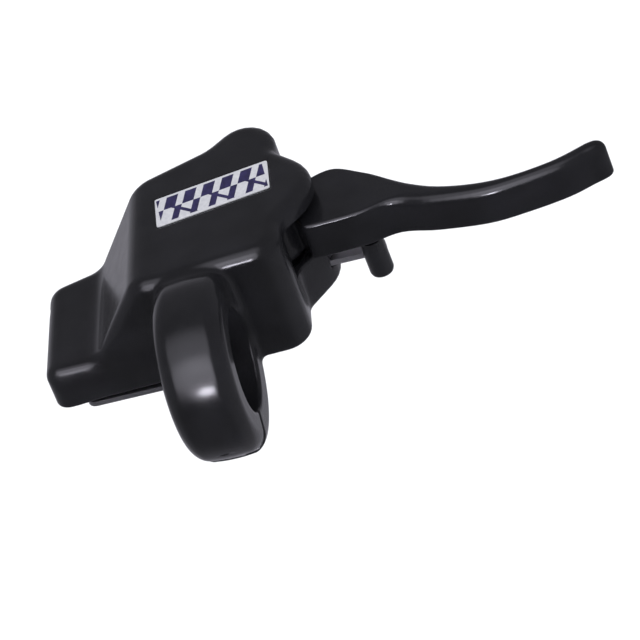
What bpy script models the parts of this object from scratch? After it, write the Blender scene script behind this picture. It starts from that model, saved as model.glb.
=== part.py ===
"""Handlebar finger-lever control: cast clamp housing, cable lever, pivot, return spring and stop.

Metres, +Z up. The origin is on the handlebar's axis, at the middle of the clamp ring. +X runs along
the bar towards the lever's tip, +Y from the bar into the housing, +Z out of the housing's top.
Driving dimensions below are in millimetres and are scaled by MM where meshes are made.
"""
import math

import bmesh
import bpy
from mathutils import Matrix, Vector

MM = 0.001
GAP = 0.3                    # clearance left between pieces that touch on the real object

# clamp ring, around the X axis
BORE_R = 11.1                # fits a 22.2 mm handlebar
RING_R = 19.3
RING_HALF = 7.5
RING_FILLET = 2.6
HEEL_R = 20.0                # the fixed arm behind the slit stands a little proud of the jaw
SLIT_ANGLE = 238.0           # degrees in the YZ plane, from +Y towards +Z
SLIT_WIDTH = 1.2
HEEL_END_ANGLE = 340.0
RING_STEPS = 64

# housing casting
Z_BOTTOM = -10.4
Z_TOP = 17.4
TOP_FILLET = 3.2
FOOT_FILLET = 1.2
BLOCK_TOP = -0.7             # top of the low block that the cable enters
END_X = -37.4                # the low block's end face
INCLINE_FOOT_X = -25.4
INCLINE_CREST_X = -12.0
ROOF_THICK = 3.6
POCKET_DEPTH = 0.4           # recess for the badge
CORNER_STEPS = 6

# lever pivot, upright through the right-hand lobe
PIVOT = (13.5, 32.0)
SLOT_BOTTOM = 1.3
SLOT_TOP = 12.4
SLOT_FRONT = 20.0
SLOT_BACK = 43.0
SPRING_WELL_R = 8.9
SPRING_WELL_Z = -3.2
BOLT_SEAT_Z = -6.5           # the pivot bolt's counterbore, from below
BOLT_HOLE_TOP = 15.2

# lever
LEVER_BOTTOM = 1.75
LEVER_TOP = 10.9
HUB_R = 8.2
HUB_LOW_R = 6.2              # the hub's narrow ends, above and below the blade
HUB_LOW_Z = -2.2
HUB_HIGH_Z = 11.3
ARM_TOP = 7.8
BUSH_R = 4.5
SHOULDER_R = 3.2
POST = (8.0, 45.2)           # swivel post that holds the cable's end
POST_R = 2.5
POST_FOOT_R = 3.8
ARM_END_R = 3.9
PEG = (35.0, 27.7)
PEG_R = 2.6
PEG_BOTTOM = -7.9
PEG_HOLE_R = 1.4
PEG_HOLE_TOP = 7.0

# cable inlet, at the end of the low block
INLET = (END_X, 33.0, -6.1)
INLET_R = 3.0
INLET_FLANGE_R = 3.6
INLET_BORE_R = 1.9
INLET_LENGTH = 9.0
INLET_SUNK = 1.0             # how far the slanting bush starts behind the end face
CABLE_AIM = (9.5, 45.7)      # where the swivel post stands at half travel

# bottom cover
COVER_THICK = 1.2
COVER_SCREWS = ((-24.6, 17.2), (-24.6, 28.4), (-0.2, 24.2), (0.2, 36.2))
COVER_SCREW_R = 1.5
SCREW_POST_R = 3.3
SCREW_HOLE_R = 1.8
SCREW_HOLE_DEPTH = 7.0

# pinch screw of the clamp, return stop, badge
CLAMP_AXIS_R = 15.0
CHANNEL_Z = -6.1
CHANNEL_TOP = -4.1
STOP_FRONT = 30.7            # the strip's edge that the peg rests against
STOP_BACK = 34.2
STOP_PIN = (22.8, 32.4)
STOP_PIN_HOLE_R = 1.3
BADGE_CENTRE = (5.4, 34.1)
BADGE_LONG = (12.3, 2.2)     # half of the badge's length, and of its slightly slanting width
BADGE_SHORT = (-0.35, 4.65)


# ---------------------------------------------------------------- scene and materials

def clear_scene():
    for old in list(bpy.data.objects):
        bpy.data.objects.remove(old, do_unlink=True)


def material(name, colour, roughness, metallic):
    mat = bpy.data.materials.new(name)
    mat.use_nodes = True
    shader = mat.node_tree.nodes["Principled BSDF"]
    shader.inputs["Base Color"].default_value = (*colour, 1.0)
    shader.inputs["Roughness"].default_value = roughness
    shader.inputs["Metallic"].default_value = metallic
    mat.diffuse_color = (*colour, 1.0)
    return mat


def add_object(name, bm, mat, origin=(0.0, 0.0, 0.0)):
    """Makes a named object from bm (in mm); its own origin is put at origin (in mm)."""
    bmesh.ops.translate(bm, vec=-Vector(origin), verts=bm.verts)
    bmesh.ops.scale(bm, vec=(MM, MM, MM), verts=bm.verts)
    mesh = bpy.data.meshes.new(name)
    bm.to_mesh(mesh)
    bm.free()
    mesh.materials.append(mat)
    mesh.shade_smooth()
    mesh.set_sharp_from_angle(angle=math.radians(35))
    obj = bpy.data.objects.new(name, mesh)
    obj.location = Vector(origin) * MM
    bpy.context.scene.collection.objects.link(obj)
    return obj


def cutter(bm):
    """A hidden helper solid for a Boolean."""
    obj = add_object("cutter", bm, material("cutter", (0.5, 0.5, 0.5), 0.5, 0.0))
    obj.hide_render = True
    obj.display_type = "WIRE"
    return obj


def boolean(obj, other, operation):
    """Applies one exact Boolean and removes the helper."""
    modifier = obj.modifiers.new(operation, "BOOLEAN")
    modifier.operation = operation
    modifier.solver = "EXACT"
    modifier.object = other
    bpy.context.view_layer.update()
    evaluated = obj.evaluated_get(bpy.context.evaluated_depsgraph_get())
    mesh = bpy.data.meshes.new_from_object(evaluated)
    old = obj.data
    obj.modifiers.remove(modifier)
    obj.data = mesh
    mesh.name = obj.name
    bpy.data.meshes.remove(old)
    bpy.data.objects.remove(other, do_unlink=True)


def cut(obj, bm):
    boolean(obj, cutter(bm), "DIFFERENCE")


def join(obj, bm):
    boolean(obj, cutter(bm), "UNION")


def finish(obj, sharp_angle=35):
    """Welds the crumbs that Booleans leave, and shades the round faces smooth."""
    bm = bmesh.new()
    bm.from_mesh(obj.data)
    bmesh.ops.remove_doubles(bm, verts=bm.verts, dist=0.00001)
    bmesh.ops.dissolve_degenerate(bm, dist=0.000005, edges=bm.edges)
    bm.to_mesh(obj.data)
    bm.free()
    obj.data.shade_smooth()
    obj.data.set_sharp_from_angle(angle=math.radians(sharp_angle))


# ---------------------------------------------------------------- outlines

def offset_corners(corners, inset):
    """Moves each side of a counter-clockwise outline inwards and keeps its corners' arcs parallel."""
    count = len(corners)
    moved = []
    for i, (x, y, radius) in enumerate(corners):
        before = Vector(corners[i - 1][:2])
        here = Vector((x, y))
        after = Vector(corners[(i + 1) % count][:2])
        way_in = (here - before).normalized()
        way_out = (after - here).normalized()
        normal_in = Vector((-way_in.y, way_in.x))
        normal_out = Vector((-way_out.y, way_out.x))
        turn = way_in.x * way_out.y - way_in.y * way_out.x
        shift = (normal_in + normal_out) * (inset / (1.0 + normal_in.dot(normal_out)))
        new_radius = radius - inset if turn > 0 else radius + inset
        moved.append((x + shift.x, y + shift.y, max(new_radius, 0.05)))
    return moved


def outline(corners, steps=CORNER_STEPS):
    """Points of a closed outline whose corners (x, y, radius) are rounded by arcs."""
    count = len(corners)
    points = []
    for i, (x, y, radius) in enumerate(corners):
        here = Vector((x, y))
        way_in = (here - Vector(corners[i - 1][:2])).normalized()
        way_out = (Vector(corners[(i + 1) % count][:2]) - here).normalized()
        turn = way_in.x * way_out.y - way_in.y * way_out.x
        angle = math.acos(max(-1.0, min(1.0, way_in.dot(way_out))))
        side = 1.0 if turn > 0 else -1.0
        start = here - way_in * (radius * math.tan(angle / 2))
        normal = Vector((-way_in.y, way_in.x)) * side
        centre = start + normal * radius
        for k in range(steps + 1):
            swing = side * angle * k / steps
            spoke = (start - centre)
            spoke.rotate(Matrix.Rotation(swing, 2))
            points.append(tuple(centre + spoke))
    return points


def circle(centre, radius, steps=32, start=0.0):
    """Points of a full circle in plan."""
    points = []
    for k in range(steps):
        angle = start + 2 * math.pi * k / steps
        points.append((centre[0] + radius * math.cos(angle), centre[1] + radius * math.sin(angle)))
    return points


def catmull(points, steps):
    """A smooth open curve through the points, in any number of dimensions."""
    ends = [points[0]] + list(points) + [points[-1]]
    curve = []
    for i in range(1, len(ends) - 2):
        p0, p1, p2, p3 = (Vector(p) for p in ends[i - 1:i + 3])
        for k in range(steps):
            t = k / steps
            point = 2 * p1 + (p2 - p0) * t + (2 * p0 - 5 * p1 + 4 * p2 - p3) * t ** 2
            point = point + (3 * p1 - p0 - 3 * p2 + p3) * t ** 3
            curve.append(tuple(point / 2))
    curve.append(tuple(points[-1]))
    return curve


# ---------------------------------------------------------------- solids (bmesh, mm)

def loft(rings):
    """A closed solid through rings of equal length, each a list of (x, y, z)."""
    bm = bmesh.new()
    loops = [[bm.verts.new(p) for p in ring] for ring in rings]
    for low, high in zip(loops, loops[1:]):
        for i in range(len(low)):
            j = (i + 1) % len(low)
            bm.faces.new((low[i], low[j], high[j], high[i]))
    bm.faces.new(reversed(loops[0]))
    bm.faces.new(loops[-1])
    bmesh.ops.recalc_face_normals(bm, faces=bm.faces)
    return bm


def prism(points, z0, z1):
    return loft([[(x, y, z0) for x, y in points], [(x, y, z1) for x, y in points]])


def box(low, high):
    points = [(low[0], low[1]), (high[0], low[1]), (high[0], high[1]), (low[0], high[1])]
    return prism(points, low[2], high[2])


def cylinder(centre, radius, z0, z1, steps=32):
    return prism(circle(centre, radius, steps), z0, z1)


def turned(profile, steps=32, closed=False):
    """Turns a profile of (radius, height) about Z. A closed profile makes a ring with a hole."""
    bm = bmesh.new()
    rings = []
    for radius, height in profile:
        if radius < 1e-6:
            rings.append([bm.verts.new((0, 0, height))])
            continue
        rings.append([bm.verts.new((*p, height)) for p in circle((0, 0), radius, steps)])
    pairs = list(zip(rings, rings[1:]))
    if closed:
        pairs.append((rings[-1], rings[0]))
    for a, b in pairs:
        for i in range(steps):
            j = (i + 1) % steps
            if len(a) == 1:
                bm.faces.new((a[0], b[i], b[j]))
            elif len(b) == 1:
                bm.faces.new((a[i], a[j], b[0]))
            else:
                bm.faces.new((a[i], a[j], b[j], b[i]))
    bmesh.ops.recalc_face_normals(bm, faces=bm.faces)
    return bm


def place(bm, position, direction=(0, 0, 1)):
    """Turns a solid's Z axis onto direction and moves it to position."""
    turn = Vector((0, 0, 1)).rotation_difference(Vector(direction).normalized()).to_matrix()
    bmesh.ops.rotate(bm, cent=(0, 0, 0), matrix=turn, verts=bm.verts)
    bmesh.ops.translate(bm, vec=position, verts=bm.verts)
    return bm


def hex_prism(across_flats, z0, z1):
    return cylinder((0, 0), across_flats / math.sqrt(3), z0, z1, 6)


def tube(path, radius, sides=10):
    """A round wire along a path of points, with flat ends."""
    bm = bmesh.new()
    loops = []
    frame_x = None
    for i, point in enumerate(path):
        ahead = Vector(path[min(i + 1, len(path) - 1)]) - Vector(path[max(i - 1, 0)])
        ahead.normalize()
        if frame_x is None:
            frame_x = ahead.orthogonal().normalized()
        frame_x = (frame_x - ahead * frame_x.dot(ahead)).normalized()
        frame_y = ahead.cross(frame_x)
        loop = []
        for k in range(sides):
            angle = 2 * math.pi * k / sides
            spoke = frame_x * math.cos(angle) + frame_y * math.sin(angle)
            loop.append(bm.verts.new(Vector(point) + spoke * radius))
        loops.append(loop)
    for low, high in zip(loops, loops[1:]):
        for i in range(sides):
            j = (i + 1) % sides
            bm.faces.new((low[i], low[j], high[j], high[i]))
    bm.faces.new(reversed(loops[0]))
    bm.faces.new(loops[-1])
    bmesh.ops.recalc_face_normals(bm, faces=bm.faces)
    return bm


# ---------------------------------------------------------------- housing

def top_corners():
    """The housing's plan at its top: (x, y, corner radius), counter-clockwise from the front left."""
    return [
        (END_X, 9.7, 3.4),
        (20.0, 12.0, 6.5),
        (19.9, 21.6, 4.0),
        (31.3, 33.2, 11.2),
        (18.4, 45.6, 2.2),
        (18.4, 64.8, 6.9),
        (3.2, 51.0, 9.0),
        (-12.5, 45.0, 14.0),
        (-25.0, 43.6, 14.0),
        (END_X, 39.8, 4.2),
    ]


def foot_corners():
    """The plan at the bottom: the casting's draft draws the front and the right lobe inwards."""
    return [
        (END_X, 9.9, 3.4),
        (19.3, 11.8, 5.5),
        (18.6, 23.2, 4.0),
        (28.6, 36.0, 9.4),
        (17.9, 46.2, 2.2),
        (17.9, 63.4, 6.5),
        (3.2, 50.2, 9.0),
        (-12.5, 44.6, 14.0),
        (-25.0, 43.2, 14.0),
        (END_X, 39.4, 4.2),
    ]


def corners_at(z):
    """The plan at height z, between the foot's and the top's."""
    share = (z - Z_BOTTOM) / (Z_TOP - Z_BOTTOM)
    pairs = zip(foot_corners(), top_corners())
    return [tuple(a + (b - a) * share for a, b in zip(low, high)) for low, high in pairs]


def body_shell():
    """The drafted body with a rounded top edge and a small radius at its foot."""
    rings = []
    for k in range(3):
        angle = math.pi / 2 * k / 3
        z = Z_BOTTOM + FOOT_FILLET * (1 - math.cos(angle))
        inset = FOOT_FILLET * (1 - math.sin(angle))
        rings.append((z, inset))
    for k in range(6):
        angle = math.pi / 2 * k / 5
        z = Z_TOP - TOP_FILLET * (1 - math.sin(angle))
        inset = TOP_FILLET * (1 - math.cos(angle))
        rings.append((z, inset))
    loops = []
    for z, inset in rings:
        loops.append([(x, y, z) for x, y in outline(offset_corners(corners_at(z), inset))])
    return loft(loops)


def side_profile():
    """Keeps what lies under the low block's top, the incline and the main top, seen along Y."""
    run = INCLINE_CREST_X - INCLINE_FOOT_X
    rise = Z_TOP - BLOCK_TOP
    over = 10.0
    crest = (INCLINE_CREST_X + over * run / rise, Z_TOP + over)
    corners = [(-50, -30, 0.1), (60, -30, 0.1), (60, crest[1], 0.1), (*crest, 0.1)]
    corners += [(INCLINE_FOOT_X, BLOCK_TOP, 5.0), (-50, BLOCK_TOP, 0.1)]
    points = outline(corners)
    return loft([[(x, 80, z) for x, z in points], [(x, -5, z) for x, z in points]])


def ring_profile(outer, half):
    """Half of the ring's section as (radius, x), with rounded outer edges."""
    points = [(6.0, -half)]
    for k in range(5):
        angle = math.pi / 2 * k / 4
        points.append((outer - RING_FILLET + RING_FILLET * math.sin(angle),
                       -half + RING_FILLET * (1 - math.cos(angle))))
    points += [(r, -x) for r, x in reversed(points)]
    return points


def ring_sector(outer, half, start, end, steps):
    """Part of the clamp ring, from angle start to end in degrees in the YZ plane."""
    section = ring_profile(outer, half)
    loops = []
    for k in range(steps + 1):
        angle = math.radians(start + (end - start) * k / steps)
        loops.append([(x, r * math.cos(angle), r * math.sin(angle)) for r, x in section])
    return loft(loops)


def polar(radius, degrees, along=0.0):
    """A point of the YZ plane at a radius and an angle, moved along the tangent there."""
    angle = math.radians(degrees)
    spoke = Vector((0, math.cos(angle), math.sin(angle)))
    tangent = Vector((0, -math.sin(angle), math.cos(angle)))
    return spoke * radius + tangent * along


def cavity_floor_points():
    """The cavity's plan: cable run on the left, swivel post's room in the rear lobe."""
    corners = [
        (-28.4, 13.4, 1.5),
        (-11.5, 13.4, 1.5),
        (-11.5, 20.6, 1.5),
        (3.2, 20.6, 1.5),
        (3.2, 41.0, 0.6),
        (15.4, 41.0, 0.6),
        (15.4, 58.2, 4.0),
        (4.8, 48.3, 6.0),
        (-12.0, 42.0, 10.0),
        (-24.0, 40.6, 3.0),
        (-28.4, 39.4, 1.0),
    ]
    return outline(corners, 4)


def cut_cavity(housing):
    """Hollows the casting from below, leaving a post for each cover screw."""
    low = cavity_floor_points()
    room = cutter(prism(low, Z_BOTTOM - 2, Z_TOP - ROOF_THICK))
    roof = outline([(-50, -40, 0.1), (60, -40, 0.1), (60, 40, 0.1), (INCLINE_CREST_X + 18, 40, 0.1),
                    (INCLINE_FOOT_X + 3.6, BLOCK_TOP - 2.6, 3.0), (-50, BLOCK_TOP - 2.6, 0.1)])
    slope = loft([[(x, 80, z) for x, z in roof], [(x, -5, z) for x, z in roof]])
    boolean(room, cutter(slope), "INTERSECT")
    for centre in COVER_SCREWS:
        cut(room, cylinder(centre, SCREW_POST_R, Z_BOTTOM - 1.0, Z_TOP, 20))
    boolean(housing, room, "DIFFERENCE")


def cut_slot(housing):
    """Opens the right-hand side for the lever, and sinks the well for the return spring."""
    cut(housing, box((2.6, SLOT_FRONT, SLOT_BOTTOM), (45, SLOT_BACK, SLOT_TOP)))
    cut(housing, cylinder(PIVOT, SPRING_WELL_R, SPRING_WELL_Z, SLOT_BOTTOM + 1, 36))
    cut(housing, box((19.6, STOP_FRONT - GAP, CHANNEL_Z), (45, STOP_BACK + GAP, CHANNEL_TOP)))


def cut_pivot_holes(housing):
    """Shoulder and thread holes for the pivot bolt, and its counterbore from below."""
    cut(housing, cylinder(PIVOT, 5.6, Z_BOTTOM - 2, BOLT_SEAT_Z, 28))
    cut(housing, cylinder(PIVOT, SHOULDER_R + GAP, -8, SLOT_TOP + 1, 28))
    cut(housing, cylinder(PIVOT, 2.8, SLOT_TOP - 1, BOLT_HOLE_TOP, 24))


def cut_clamp(housing):
    """Bore, slit, and the pinch screw's counterbored hole across the slit."""
    bar = cylinder((0, 0), BORE_R, -60, 60, RING_STEPS)
    cut(housing, place(bar, (0, 0, 0), (1, 0, 0)))
    slit = box((-20, -SLIT_WIDTH / 2, 0), (20, SLIT_WIDTH / 2, 30))
    cut(housing, place_radial(slit))
    tangent = polar(1.0, SLIT_ANGLE + 90)
    axis = polar(CLAMP_AXIS_R, SLIT_ANGLE)
    profile = [(0, -8.4), (2.3, -8.4), (2.3, 4.5), (4.1, 4.5), (4.1, 22), (0, 22)]
    cut(housing, place(turned(profile, 24), axis, tangent))


def place_radial(bm):
    """Stands a solid made along +Z on the slit's radial plane."""
    turn = Matrix.Rotation(math.radians(SLIT_ANGLE - 90), 3, "X")
    bmesh.ops.rotate(bm, cent=(0, 0, 0), matrix=turn, verts=bm.verts)
    return bm


def inlet_direction():
    """From the inlet towards the swivel post at half travel, level."""
    way = Vector(CABLE_AIM) - Vector(INLET[:2])
    return Vector((way.x, way.y, 0)).normalized()


def cut_inlet(housing):
    """Slanting hole for the cable's bush, counterbored for its flange."""
    hole, flange = INLET_R + GAP, INLET_FLANGE_R + GAP
    shelf, end = INLET_SUNK + 2.2, INLET_SUNK + 10.8
    profile = [(0, -6), (flange, -6), (flange, shelf), (hole, shelf), (hole, end), (0, end)]
    cut(housing, place(turned(profile, 28), INLET, inlet_direction()))


def make_housing():
    black = material("gloss_black_cast", (0.012, 0.012, 0.014), 0.22, 0.0)
    housing = add_object("housing", body_shell(), black)
    boolean(housing, cutter(side_profile()), "INTERSECT")
    join(housing, ring_sector(RING_R, RING_HALF, HEEL_END_ANGLE - 2 - 360, SLIT_ANGLE, 46))
    join(housing, ring_sector(HEEL_R, RING_HALF - 0.02, SLIT_ANGLE - 0.01, HEEL_END_ANGLE, 18))
    cut_clamp(housing)
    cut_cavity(housing)
    cut_slot(housing)
    cut_pivot_holes(housing)
    cut_inlet(housing)
    for centre in COVER_SCREWS:
        cut(housing, cylinder(centre, SCREW_HOLE_R, Z_BOTTOM - 1, Z_BOTTOM + SCREW_HOLE_DEPTH, 16))
    cut(housing, cylinder(STOP_PIN, STOP_PIN_HOLE_R, -9.7, CHANNEL_Z + 1, 16))
    cut(housing, badge_solid(GAP, Z_TOP - POCKET_DEPTH, Z_TOP + 1))
    finish(housing, 30)
    return housing


def badge_solid(grow, z0, z1):
    """The badge's plan, grown by a margin all round, from z0 to z1."""
    centre = Vector(BADGE_CENTRE)
    along = Vector(BADGE_LONG)
    across = Vector(BADGE_SHORT)
    along += along.normalized() * grow
    across += across.normalized() * grow
    corners = []
    for a, b in ((-1, -1), (1, -1), (1, 1), (-1, 1)):
        corner = centre + along * a + across * b
        corners.append((corner.x, corner.y, 0.5))
    return prism(outline(corners, 3), z0, z1)


# ---------------------------------------------------------------- lever body

def lever_outline():
    """The blade in plan, from the hub out along its back edge and home along its front edge."""
    back = [(22.6, 39.2), (26.3, 41.4), (30.5, 41.7), (36.3, 38.3), (43.2, 33.8), (52.5, 28.7),
            (64.1, 26.4), (75.8, 27.9), (83.8, 31.1)]
    tip = [(83.8, 31.1), (85.8, 31.5), (87.4, 30.9), (88.0, 29.7), (87.5, 28.5), (86.2, 27.7),
           (84.1, 26.9)]
    front = [(84.1, 26.9), (78.4, 24.6), (69.7, 22.9), (61.1, 22.2), (50.3, 23.9), (42.1, 26.1),
             (35.3, 24.8), (28.8, 24.3), (24.3, 24.2), (22.8, 24.8), (22.1, 26.3), (20.6, 29.0)]
    points = catmull(back, 4)[:-1] + catmull(tip, 3)[:-1] + catmull(front, 4)
    return list(reversed(points)) + [(PIVOT[0], PIVOT[1] + 6.0)]


def blade():
    """The finger blade with softened long edges."""
    points = lever_outline()
    if signed_area(points) < 0:
        points.reverse()
    rings = []
    for z, inset in ((LEVER_BOTTOM, 0.7), (LEVER_BOTTOM + 0.7, 0.0), (LEVER_TOP - 1.1, 0.0),
                     (LEVER_TOP - 0.35, 0.35), (LEVER_TOP, 1.1)):
        rings.append([(x, y, z) for x, y in inset_points(points, inset)])
    return loft(rings)


def signed_area(points):
    total = 0.0
    for (x0, y0), (x1, y1) in zip(points, points[1:] + points[:1]):
        total += x0 * y1 - x1 * y0
    return total / 2


def inset_points(points, inset):
    """Moves each point of a counter-clockwise outline inwards along its own normal."""
    moved = []
    for i, point in enumerate(points):
        before = Vector(points[i - 1])
        after = Vector(points[(i + 1) % len(points)])
        way = (after - before).normalized()
        moved.append((point[0] - way.y * inset, point[1] + way.x * inset))
    return moved


def make_lever():
    black = material("gloss_black_lever", (0.012, 0.012, 0.014), 0.2, 0.0)
    lever = add_object("lever", blade(), black, (*PIVOT, 0))
    join(lever, cylinder(PIVOT, HUB_R, LEVER_BOTTOM + 0.1, LEVER_TOP + 0.1, 40))
    arm = [(PIVOT[0] - 7.6, PIVOT[1] + 1.0), (PIVOT[0] + 6.4, PIVOT[1] + 3.0)]
    arm += circle(POST, ARM_END_R, 16, math.radians(-20))[:10]
    join(lever, prism(arm, LEVER_BOTTOM + 0.2, ARM_TOP))
    join(lever, cylinder(PIVOT, HUB_LOW_R, HUB_LOW_Z, LEVER_BOTTOM + 1, 32))
    join(lever, cylinder(PIVOT, HUB_LOW_R, LEVER_TOP - 1, HUB_HIGH_Z, 32))
    cut(lever, cylinder(PIVOT, BUSH_R + GAP, -5, 15, 32))
    cut(lever, cylinder(POST, POST_R + GAP, 0, 15, 24))
    cut(lever, cylinder(PEG, PEG_HOLE_R, 0, PEG_HOLE_TOP, 20))
    finish(lever)
    return lever


def make_bushes():
    bronze = material("sintered_bronze", (0.45, 0.28, 0.12), 0.45, 1.0)
    top, low, middle = HUB_HIGH_Z + GAP, SPRING_WELL_Z + GAP, 4.6
    flange_r, inner = 6.0, SHOULDER_R + GAP
    upper = turned([(inner, middle + GAP), (BUSH_R, middle + GAP), (BUSH_R, top), (flange_r, top),
                    (flange_r, top + 0.5), (inner, top + 0.5)], 32, closed=True)
    lower = turned([(inner, low), (flange_r, low), (flange_r, low + 0.4), (BUSH_R, low + 0.4),
                    (BUSH_R, middle), (inner, middle)], 32, closed=True)
    for name, bm in (("upper_bush", upper), ("lower_bush", lower)):
        add_object(name, place(bm, (*PIVOT, 0)), bronze, (*PIVOT, 0))


def make_pivot_bolt():
    steel = material("zinc_steel", (0.55, 0.56, 0.58), 0.32, 1.0)
    head_low, head_top = Z_BOTTOM + GAP, BOLT_SEAT_Z - 0.9
    bolt = add_object("pivot_bolt", place(turned([
        (0, head_low), (4.6, head_low), (5.0, head_low + 0.4), (5.0, head_top), (SHOULDER_R, head_top),
        (SHOULDER_R, SLOT_TOP - 0.4), (2.5, SLOT_TOP - 0.1), (2.5, BOLT_HOLE_TOP - 0.6),
        (2.2, BOLT_HOLE_TOP - GAP), (0, BOLT_HOLE_TOP - GAP)],
        32), (*PIVOT, 0)), steel)
    cut(bolt, place(hex_prism(4.0, head_low - 1, head_low + 2.2), (*PIVOT, 0)))
    finish(bolt)
    low, high, hole = BOLT_SEAT_Z - 0.6, BOLT_SEAT_Z - 0.3, SHOULDER_R + GAP
    washer = turned([(hole, low), (5.2, low), (5.2, high), (hole, high)], 28, closed=True)
    add_object("pivot_washer", place(washer, (*PIVOT, 0)), steel)


def make_return_spring():
    """Torsion spring in its well, round the hub's lower end, with a short straight leg at each end."""
    wire, coil_r, leg = 0.5, 7.45, 2.2
    z0, pitch, turns = SPRING_WELL_Z + 0.9, 1.3, 2.3
    start = math.radians(170)
    path = []
    steps = int(20 * turns)
    for k in range(steps + 1):
        angle = start + 2 * math.pi * turns * k / steps
        z = z0 + pitch * turns * k / steps
        path.append((PIVOT[0] + coil_r * math.cos(angle), PIVOT[1] + coil_r * math.sin(angle), z))
    first = Vector(path[0])
    last = Vector(path[-1])
    lead = (Vector(path[0]) - Vector(path[1])).normalized()
    trail = (Vector(path[-1]) - Vector(path[-2])).normalized()
    path.insert(0, tuple(first + Vector((lead.x, lead.y, 0)) * leg))
    path.append(tuple(last + Vector((trail.x, trail.y, 0)) * leg))
    steel = material("spring_steel", (0.42, 0.43, 0.45), 0.35, 1.0)
    add_object("return_spring", tube(path, wire, 8), steel)


def make_swivel_post():
    """Brass post that turns in the arm and holds the cable's end, with its retaining clip."""
    brass = material("brass", (0.72, 0.52, 0.22), 0.3, 1.0)
    clip_z = ARM_TOP + GAP
    post = add_object("swivel_post", place(turned([
        (0, -9.6), (POST_FOOT_R - 0.3, -9.6), (POST_FOOT_R, -9.3), (POST_FOOT_R, LEVER_BOTTOM - 0.1),
        (POST_R, LEVER_BOTTOM - 0.1), (POST_R, clip_z), (POST_R - 0.6, clip_z),
        (POST_R - 0.6, clip_z + 0.9), (POST_R, clip_z + 0.9), (POST_R, clip_z + 1.8),
        (POST_R - 0.4, clip_z + 2.1), (0, clip_z + 2.1)], 24), (*POST, 0)), brass, (*POST, 0))
    way = -inlet_direction()
    seat = Vector((*POST, INLET[2]))
    cut(post, place(turned([(0, -1.9), (1.9, -1.9), (1.9, 9), (0, 9)], 16), seat, (0, 0, -1)))
    cut(post, place(cylinder((0, 0), 1.0, -1, 9, 12), seat, way))
    finish(post)
    clip = turned([(POST_R - 0.3, clip_z + 0.25), (POST_FOOT_R, clip_z + 0.25),
                   (POST_FOOT_R, clip_z + 0.7), (POST_R - 0.3, clip_z + 0.7)], 24, closed=True)
    steel = material("black_spring_steel", (0.05, 0.05, 0.055), 0.4, 1.0)
    clip_object = add_object("post_clip", place(clip, (*POST, 0)), steel, (*POST, 0))
    cut(clip_object, box((POST[0] - 1.5, POST[1], clip_z), (POST[0] + 1.5, POST[1] + 8, clip_z + 2)))
    finish(clip_object)


def make_stop_peg():
    black = material("black_peg", (0.015, 0.015, 0.018), 0.3, 0.0)
    peg = turned([(0, PEG_BOTTOM), (PEG_R - 0.7, PEG_BOTTOM), (PEG_R - 0.2, PEG_BOTTOM + 0.25),
                  (PEG_R, PEG_BOTTOM + 0.8), (PEG_R, LEVER_BOTTOM - GAP), (1.1, LEVER_BOTTOM - GAP),
                  (1.1, PEG_HOLE_TOP - 0.6), (0.8, PEG_HOLE_TOP - GAP), (0, PEG_HOLE_TOP - GAP)], 28)
    add_object("stop_peg", place(peg, (*PEG, 0)), black, (*PIVOT, 0))


def make_return_stop():
    """Steel strip in a channel of the lower jaw; the peg rests against its end."""
    steel = material("zinc_plate", (0.62, 0.62, 0.64), 0.35, 1.0)
    start, end = 20.0, 36.6
    corners = [(start, STOP_FRONT, 0.6), (end, STOP_FRONT, 0.8), (end, STOP_BACK, 1.4),
               (start, STOP_BACK, 0.6)]
    low, high = CHANNEL_Z + GAP, CHANNEL_TOP - GAP
    stop = add_object("return_stop", prism(outline(corners, 4), low, high), steel)
    cut(stop, cylinder(STOP_PIN, STOP_PIN_HOLE_R, low - 1, high + 1, 16))
    finish(stop)
    pin = turned([(0, -9.4), (0.7, -9.4), (1.0, -9.1), (1.0, high - 0.5), (0.7, high - 0.2),
                  (0, high - 0.2)], 16)
    add_object("return_stop_pin", place(pin, (*STOP_PIN, 0)), steel)


def make_cover():
    """Flat plate that closes the housing from below, and its four screws."""
    plate = material("anodised_plate", (0.55, 0.56, 0.6), 0.38, 1.0)
    top = Z_BOTTOM - GAP
    corners = [(-30.9, 10.6, 2.0), (-9.6, 10.6, 1.0), (-9.6, 19.4, 1.0), (4.8, 19.4, 1.5),
               (4.8, 39.4, 1.5), (17.0, 39.4, 1.0), (17.0, 61.0, 5.6), (3.4, 48.6, 8.0),
               (-12.0, 43.4, 12.0), (-24.0, 42.0, 6.0), (-30.9, 40.0, 1.6)]
    cover = add_object("bottom_cover", prism(outline(corners, 4), top - COVER_THICK, top), plate)
    for centre in COVER_SCREWS:
        cut(cover, cylinder(centre, COVER_SCREW_R + GAP, top - 5, top + 1, 20))
    finish(cover)
    steel = material("screw_steel", (0.5, 0.51, 0.53), 0.3, 1.0)
    under = top - COVER_THICK - GAP
    for number, centre in enumerate(COVER_SCREWS, 1):
        head = turned([(0, under - 1.5), (2.0, under - 1.5), (2.6, under - 1.1), (2.8, under - 0.6),
                       (2.8, under), (COVER_SCREW_R, under), (COVER_SCREW_R, Z_BOTTOM + 6.2),
                       (COVER_SCREW_R - 0.4, Z_BOTTOM + 6.6), (0, Z_BOTTOM + 6.6)], 20)
        screw = add_object("cover_screw_%d" % number, place(head, (*centre, 0)), steel)
        cut(screw, place(hex_prism(2.0, under - 3, under - 0.4), (*centre, 0)))
        finish(screw)


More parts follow.
